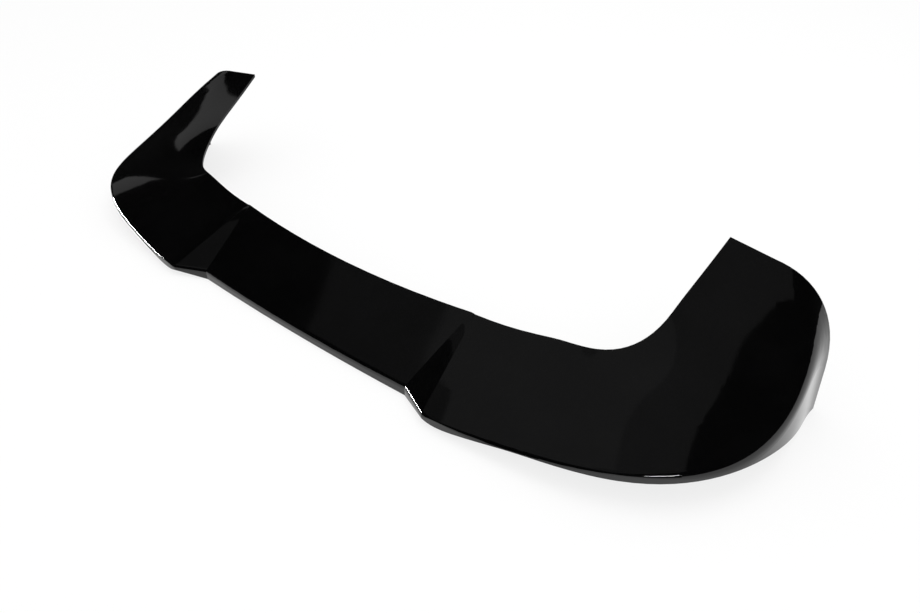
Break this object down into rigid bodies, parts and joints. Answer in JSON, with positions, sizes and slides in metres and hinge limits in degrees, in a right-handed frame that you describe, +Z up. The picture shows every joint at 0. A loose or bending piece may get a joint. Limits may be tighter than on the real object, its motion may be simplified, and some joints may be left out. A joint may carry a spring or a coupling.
{
  "type": "roof spoiler cap",
  "caption": "Gloss black one-piece U-shaped rear spoiler cap: notched centre lip, swept blade wings and side arms with skirts, a formed shell that bonds over a car's tailgate spoiler.",
  "frame": {"origin": "middle of the footprint on the floor that the cap lies on", "axes": "+X to the car's right, +Y to the car's front (the open side of the U), +Z up from the floor"},
  "size_m": [1.1936, 0.3419, 0.1682],
  "materials": {
    "gloss_black": "gloss"
  },
  "bodies": {
    "root": {"spoiler_cap": "gloss_black"}
  },
  "joints": []
}
